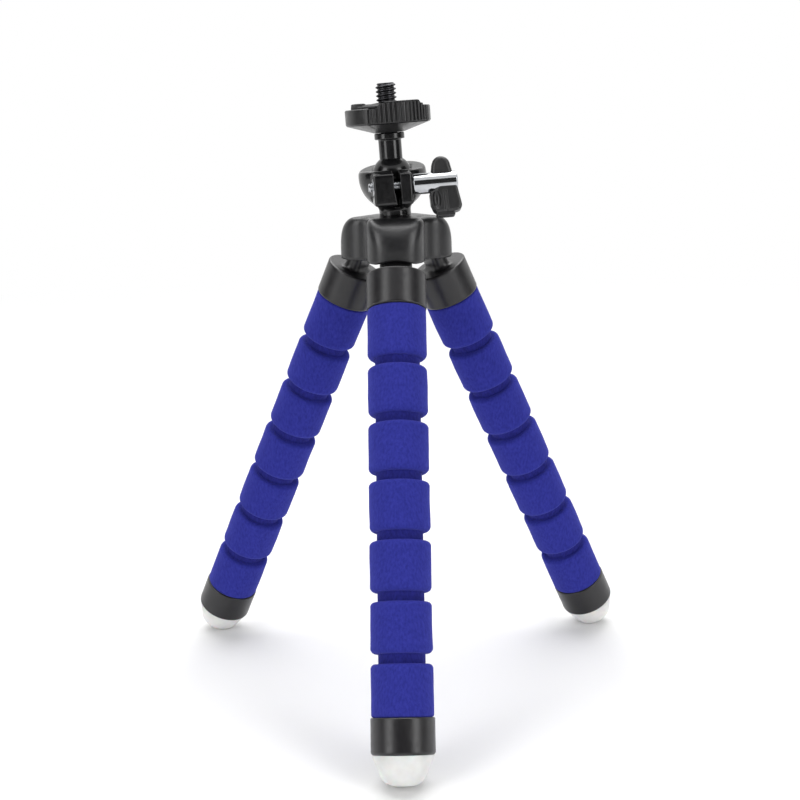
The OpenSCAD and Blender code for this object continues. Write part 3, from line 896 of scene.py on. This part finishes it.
# Stem: the glossy post that grows out of the ball and ends in a collar under the lock disc.
# The camera screw is moulded into it.
stem_r = 3.6
stem_seat_r = ball_r + 0.02
collar_at = 23.5
collar_top = 25.5
collar_r = 4.7
collar_edge = 0.35
seat_rings = 16
seat_band = 0.1
seat = [(r, ball_up + math.sqrt(stem_seat_r ** 2 - r ** 2)) for r in np.linspace(0, stem_r, seat_rings)]
stem_outline = seat + [(stem_r, seat[-1][1] + seat_band)]
stem_outline += rounded([(stem_r, collar_at - 1, 0), (stem_r, collar_at, collar_edge),
                         (collar_r, collar_at, collar_edge), (collar_r, collar_top, collar_edge),
                         (0, collar_top, 0)])
add_piece("ball_stem_post", turned(stem_outline, head_place, sides=96), head_plastic,
          "head_plastic", "stem", "ball_stem")


# Camera screw: a blackened quarter inch screw that stands out of the stem through the disc.
# The thread is rolled, and its tip is chamfered to find the camera's socket.
pad_top = 34.9
screw_top = 40.7
screw_r = 3.175
screw_pitch = 1.27
screw_depth = 0.6
screw_neck_r = 2.6
thread_at = pad_top + 0.1
screw_mesh = threaded(thread_at, screw_top, screw_r, screw_pitch, screw_depth, head_place,
                      plain_low=collar_top, plain_r=screw_neck_r, sides=96)
add_piece("camera_screw_thread", screw_mesh, dark_steel, "dark_steel", "stem", "camera_screw")


# Lock disc: a black moulded thumb wheel that turns on the camera screw. Two stretches of its
# rim are ribbed for the fingers and stand taller in their middle. Its underside is a shallow cone.
disc_at = 25.6
disc_low = 28.4
disc_top = 33.2
disc_r = 13.3
disc_edge = 0.5
disc_bevel = 0.3
disc_bevel_drop = 0.2
disc_bevel_edge = 0.4
disc_under_edge = 0.3
disc_dish = 0.02
disc_crease = 50.0
rib_base_r = 12.85
rib_r = 0.52
rib_inset = 0.25
rib_len = disc_top - disc_low - 2 * rib_inset
rib_sides = 12
rib_count = 15
rib_turn = 360 / 56
rib_first = -113.0
rib_fade = 6
tall_rise = 1.5
tall_ribs = 5.5
rim_wall_r = 11.9
rim_lip = 0.2
disc_plastic = moulded_plastic("disc_plastic", srgb(28, 28, 29), srgb(35, 35, 36),
                               roughness=0.33, grain=0.004)


def rib_offset(turn):
    """How many ribs a place on the rim lies from the middle of its stretch of ribs."""
    middle = rib_first + rib_turn * (rib_count - 1) / 2
    return abs((math.degrees(turn) - middle + 90) % 180 - 90) / rib_turn


def rim_swell(angles, r, z):
    """How far the rim is drawn in behind the ribs."""
    if r < rib_base_r:
        return 0 * angles
    inside = [min(1, max(0, rib_fade * (rib_count / 2 - rib_offset(a)))) for a in angles]
    return (rib_base_r - disc_r) * np.array(inside)


def ribbed(base, material):
    """Adds two rows of upright ribs round a disc's rim."""
    tree = bpy.data.node_groups.new("rim_ribs", "GeometryNodeTree")
    sizes = {"Rib radius": rib_r * MM, "Rib length": rib_len * MM, "Rim radius": rib_base_r * MM,
             "Rib turn": math.radians(rib_turn), "First turn": math.radians(rib_first),
             "Height": (disc_low + rib_inset) * MM, "Tall ribs": tall_ribs,
             "Tall rise": tall_rise / rib_len}
    tree.interface.new_socket("Geometry", in_out="INPUT", socket_type="NodeSocketGeometry")
    sockets = {name: tree.interface.new_socket(name, in_out="INPUT", socket_type="NodeSocketFloat")
               for name in sizes}
    tree.interface.new_socket("Geometry", in_out="OUTPUT", socket_type="NodeSocketGeometry")
    given = tree.nodes.new("NodeGroupInput").outputs

    def feed(socket, value):
        if isinstance(value, bpy.types.NodeSocket):
            tree.links.new(value, socket)
        else:
            socket.default_value = value

    def node(kind, **inputs):
        made = tree.nodes.new(kind)
        for name, value in inputs.items():
            feed(made.inputs[name.replace("_", " ")], value)
        return made

    def reckon(kind, a, b=0):
        made = tree.nodes.new("ShaderNodeMath")
        made.operation = kind
        feed(made.inputs[0], a)
        feed(made.inputs[1], b)
        return made.outputs[0]

    rib = node("GeometryNodeMeshCylinder", Vertices=rib_sides, Radius=given["Rib radius"],
               Depth=given["Rib length"])
    index = tree.nodes.new("GeometryNodeInputIndex").outputs[0]
    turn = reckon("ADD", reckon("MULTIPLY", index, given["Rib turn"]), given["First turn"])
    place = node("ShaderNodeCombineXYZ", X=reckon("MULTIPLY", reckon("COSINE", turn), given["Rim radius"]),
                 Y=reckon("MULTIPLY", reckon("SINE", turn), given["Rim radius"]), Z=given["Height"])
    row = node("GeometryNodePoints", Count=rib_count, Position=place.outputs[0])
    upright = node("ShaderNodeCombineXYZ", Z=turn)
    offset = reckon("ABSOLUTE", reckon("SUBTRACT", index, (rib_count - 1) / 2))
    tall = reckon("MAXIMUM", reckon("SUBTRACT", given["Tall ribs"], offset), 0)
    stretch = reckon("ADD", reckon("MULTIPLY", reckon("MINIMUM", tall, 1), given["Tall rise"]), 1)
    growth = node("ShaderNodeCombineXYZ", X=1, Y=1, Z=stretch)
    foot = node("ShaderNodeCombineXYZ", Z=reckon("MULTIPLY", given["Rib length"], 0.5))
    standing = node("GeometryNodeTransform", Geometry=rib.outputs["Mesh"], Translation=foot.outputs[0])
    ribs = node("GeometryNodeInstanceOnPoints", Points=row.outputs[0], Instance=standing.outputs[0],
                Rotation=upright.outputs[0], Scale=growth.outputs[0])
    far_ribs = node("GeometryNodeTransform", Geometry=ribs.outputs[0], Rotation=(0, 0, math.pi))
    both = tree.nodes.new("GeometryNodeJoinGeometry")
    for part in (given["Geometry"], ribs.outputs[0], far_ribs.outputs[0]):
        tree.links.new(part, both.inputs[0])
    real = node("GeometryNodeRealizeInstances", Geometry=both.outputs[0])
    painted = node("GeometryNodeSetMaterial", Geometry=real.outputs[0], Material=material)
    tree.links.new(painted.outputs[0], tree.nodes.new("NodeGroupOutput").inputs[0])
    wheel = bpy.data.objects.new("rib_maker", base)
    bpy.context.scene.collection.objects.link(wheel)
    modifier = wheel.modifiers.new("ribs", "NODES")
    modifier.node_group = tree
    for name, value in sizes.items():
        modifier[sockets[name].identifier] = value
    made = bpy.data.meshes.new_from_object(wheel.evaluated_get(bpy.context.evaluated_depsgraph_get()))
    bpy.data.objects.remove(wheel)
    return made


disc_outline = rounded([(0, disc_at, 0), (collar_r, disc_at, disc_under_edge),
                        (disc_r - disc_bevel, disc_low - disc_bevel_drop, disc_under_edge),
                        (disc_r, disc_low + disc_bevel, disc_bevel_edge), (disc_r, disc_top, disc_edge),
                        (rim_wall_r + rim_lip, disc_top, 0), (rim_wall_r, disc_top - disc_dish, 0),
                        (0, disc_top - disc_dish, 0)])
disc_base = turned(disc_outline, Matrix.Identity(4), sides=360, swell=rim_swell)
for vertex in disc_base.vertices:
    r = math.hypot(vertex.co.x, vertex.co.y)
    if r > rim_wall_r + rim_lip / 2 and vertex.co.z > disc_top - disc_edge - rim_lip:
        tall = tall_ribs - rib_offset(math.atan2(vertex.co.y, vertex.co.x))
        vertex.co.z += tall_rise * min(1, max(0, tall))
disc_base.transform(Matrix.Scale(MM, 4))
disc_mesh = ribbed(disc_base, disc_plastic)
disc_mesh.transform(head_place @ Matrix.Scale(1 / MM, 4))
disc_mesh.shade_smooth()
disc_mesh.set_sharp_from_angle(angle=math.radians(disc_crease))
add_piece("lock_disc_ribbed", disc_mesh, disc_plastic, "disc_plastic", "disc", "lock_disc")


# Grip pad: a matt rubber pad glued on the lock disc, with three raised segments that bite on
# the camera's base and a low cone round the screw.
pad_r = 11.2
pad_web = 0.7
pad_web_edge = 0.4
pad_foot_edge = 0.1
pad_segments = 3
pad_segment_edge = 0.5
pad_gap_half = math.radians(26.0)
pad_inner_r = 7.9
pad_fillet = 0.4
pad_bore_r = 2.7
pad_bore_edge = 0.2
pad_cone_r = 9
pad_cone_h = 1.6
pad_cone_top_r = 3
pad_cone_fall = 0.12
pad_cone_fillet = 0.3


def pad_shape(x, y, z):
    """The pad about the head's axis, on top of the disc."""
    r = np.hypot(x, y)
    up = z - disc_top
    web = carve(carve(r - pad_r, up - pad_web, pad_web_edge), -up, pad_foot_edge)
    cone = np.maximum(up - pad_cone_h + pad_cone_fall * (r - pad_cone_top_r), -up)
    cone = carve(cone, r - pad_cone_r, pad_web_edge)
    height = pad_top - disc_top
    segments = carve(r - pad_r, up - height, pad_segment_edge)
    segments = carve(segments, pad_inner_r - r, pad_segment_edge)
    for i in range(pad_segments):
        turn = 2 * math.pi * i / pad_segments
        along = x * math.cos(turn) + y * math.sin(turn)
        across = np.abs(y * math.cos(turn) - x * math.sin(turn))
        gap = across * math.cos(pad_gap_half) - along * math.sin(pad_gap_half)
        segments = carve(segments, -gap, pad_segment_edge)
    body = merge(merge(web, cone, pad_cone_fillet), np.maximum(segments, -up), pad_fillet)
    return carve(body, pad_bore_r - r, pad_bore_edge)


pad_rubber = new_material("pad_rubber", roughness=0.7)
tint(pad_rubber, speckle(pad_rubber, size=2.5, detail=3.0), srgb(36, 36, 37), srgb(46, 46, 47))
gloss(pad_rubber, speckle(pad_rubber, size=0.9), low=0.6, high=0.8)
emboss(pad_rubber, speckle(pad_rubber, size=0.4, detail=3.0), depth=0.015)
pad_mesh = moulded(pad_shape, low=(-11.8, -11.8, 32.6), high=(11.8, 11.8, 35.5), cell=0.18,
                   place=head_place)
add_piece("grip_pad_segments", pad_mesh, pad_rubber, "pad_rubber", "disc", "grip_pad")


# Paper sweep: a wide roll of matt white paper under and behind the tripod. Far from the tripod
# it is plain white to the eye and to mirrors, and near it the paper takes the tripod's shadow.
sweep_half_w = 12.0
sweep_front = -12.0
sweep_bend_at = 1.2
sweep_bend_r = 0.6
sweep_bend_steps = 24
sweep_top = 2.4
white_from = 0.35
white_to = 1.1


def add_stage(name, verts, faces, material):
    """Puts a sheet in the scene that is no part of the tripod."""
    mesh = bpy.data.meshes.new(name)
    mesh.from_pydata(verts, [], faces)
    mesh.materials.append(material)
    sheet = bpy.data.objects.new(name, mesh)
    bpy.context.scene.collection.objects.link(sheet)
    sheet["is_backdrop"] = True
    return sheet


def white_to_sight(tree, plain, white, share=None):
    """Shows white to camera, glossy and transmission rays, all of it or a share, and plain to the rest."""
    nodes, links = tree.nodes, tree.links
    path = nodes.new("ShaderNodeLightPath").outputs

    def reckon(kind, a, b):
        made = nodes.new("ShaderNodeMath")
        made.operation = kind
        links.new(a, made.inputs[0])
        links.new(b, made.inputs[1])
        return made.outputs[0]

    seen = reckon("MAXIMUM", path["Is Camera Ray"], path["Is Glossy Ray"])
    seen = reckon("MAXIMUM", seen, path["Is Transmission Ray"])
    if share:
        seen = reckon("MULTIPLY", seen, share)
    mixed = nodes.new("ShaderNodeMixShader")
    links.new(seen, mixed.inputs["Fac"])
    links.new(plain, mixed.inputs[1])
    links.new(white, mixed.inputs[2])
    return mixed.outputs["Shader"]


paper = new_material("paper", roughness=0.95, Specular_IOR_Level=0.1)
tint(paper, speckle(paper, size=300.0), (0.9, 0.9, 0.9), (0.92, 0.92, 0.92))
nodes, links = paper.node_tree.nodes, paper.node_tree.links
spot = nodes.new("ShaderNodeTexCoord")
reach = nodes.new("ShaderNodeVectorMath")
reach.operation = "LENGTH"
links.new(spot.outputs["Object"], reach.inputs[0])
far = nodes.new("ShaderNodeMapRange")
far.interpolation_type = "SMOOTHSTEP"
far.inputs["From Min"].default_value = white_from
far.inputs["From Max"].default_value = white_to
links.new(reach.outputs["Value"], far.inputs["Value"])
glow = nodes.new("ShaderNodeEmission")
glow.inputs["Strength"].default_value = 1.0
paper_look = white_to_sight(paper.node_tree, nodes["Principled BSDF"].outputs["BSDF"],
                            glow.outputs["Emission"], far.outputs["Result"])
links.new(paper_look, nodes["Material Output"].inputs["Surface"])

profile = [(sweep_front, 0.0)]
profile += [(sweep_bend_at + sweep_bend_r * math.sin(t), sweep_bend_r - sweep_bend_r * math.cos(t))
            for t in np.linspace(0, math.pi / 2, sweep_bend_steps)]
profile += [(sweep_bend_at + sweep_bend_r, sweep_top)]
sweep_verts = [(x, y, z) for y, z in profile for x in (-sweep_half_w, sweep_half_w)]
sweep_faces = [(2 * i, 2 * i + 1, 2 * i + 3, 2 * i + 2) for i in range(len(profile) - 1)]
sweep = add_stage("sweep", sweep_verts, sweep_faces, paper)
sweep.data.shade_smooth()


# Black card: a tall card folded round the front of the tripod, out of the camera's sight.
# It keeps the front of the chrome and of the glossy plastic dark.
card_plan = [(-1.5, 0.35), (-1.1, -1.25), (1.1, -1.25), (1.5, 0.35)]
card_low = 0.02
card_high = 1.4
card_black = new_material("card_black", roughness=0.9)
tint(card_black, speckle(card_black, size=40.0), (0.012, 0.012, 0.012), (0.018, 0.018, 0.018))
card_verts = [(x, y, z) for x, y in card_plan for z in (card_low, card_high)]
card_faces = [(2 * i, 2 * i + 2, 2 * i + 3, 2 * i + 1) for i in range(len(card_plan) - 1)]
card = add_stage("card", card_verts, card_faces, card_black)
card.visible_camera = False


# Lights: a wide soft light above, and two tall strip lights beside the camera that draw the
# upright highlights on the black plastic. The room is dim, and plain white to the eye.
room_light = 0.16
world = bpy.data.worlds.new("room")
bpy.context.scene.world = world
world.use_nodes = True
dim = world.node_tree.nodes["Background"]
dim.inputs["Color"].default_value = (1, 1, 1, 1)
dim.inputs["Strength"].default_value = room_light
white = world.node_tree.nodes.new("ShaderNodeBackground")
white.inputs["Color"].default_value = (1, 1, 1, 1)
white.inputs["Strength"].default_value = 1.0
room_look = white_to_sight(world.node_tree, dim.outputs["Background"], white.outputs["Background"])
world.node_tree.links.new(room_look, world.node_tree.nodes["World Output"].inputs["Surface"])


def soft_light(name, place, target, width, height, watts):
    """A rectangular soft light that faces a target."""
    lamp = bpy.data.lights.new(name, "AREA")
    lamp.shape = "RECTANGLE"
    lamp.size = width
    lamp.size_y = height
    lamp.energy = watts
    light = bpy.data.objects.new(name, lamp)
    light.location = place
    light.rotation_mode = "QUATERNION"
    light.rotation_quaternion = (Vector(target) - Vector(place)).to_track_quat("-Z", "Y")
    bpy.context.scene.collection.objects.link(light)


soft_light("overhead", place=(0, 0.5, 1.5), target=(0, 0.1, 0), width=1.6, height=1.6, watts=30)
for name, side in (("strip_left", -1), ("strip_right", 1)):
    soft_light(name, place=(side * 0.9, -0.75, 0.55), target=(0, 0, 0.12), width=0.5, height=1.1, watts=7.0)


# Camera: it stands close in front of the tripod, level with its head, looks down on it at a
# slight angle, and leans by about a degree.
camera_place = Vector((5.75, -388.4, 183.95)) * MM
camera_pitch = math.radians(12.443)
camera_yaw = math.radians(-0.784)
camera_roll = math.radians(-1.24)
ahead = Vector((math.sin(camera_yaw) * math.cos(camera_pitch),
                math.cos(camera_yaw) * math.cos(camera_pitch), -math.sin(camera_pitch)))
level = Vector((math.cos(camera_yaw), -math.sin(camera_yaw), 0))
above = level.cross(ahead)
across = math.cos(camera_roll) * level + math.sin(camera_roll) * above
above = across.cross(ahead)
lens = bpy.data.cameras.new("camera")
lens.sensor_width = 36.0
lens.lens = 57.53
lens.clip_start = 0.01
camera = bpy.data.objects.new("camera", lens)
camera.rotation_mode = "QUATERNION"
camera.location = camera_place
camera.rotation_quaternion = Matrix((across, above, -ahead)).transposed().to_quaternion()
bpy.context.scene.collection.objects.link(camera)
bpy.context.scene.camera = camera
bpy.context.scene.view_settings.view_transform = "Standard"


# Sizes: the box of the finished tripod, in metres.
low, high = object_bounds()
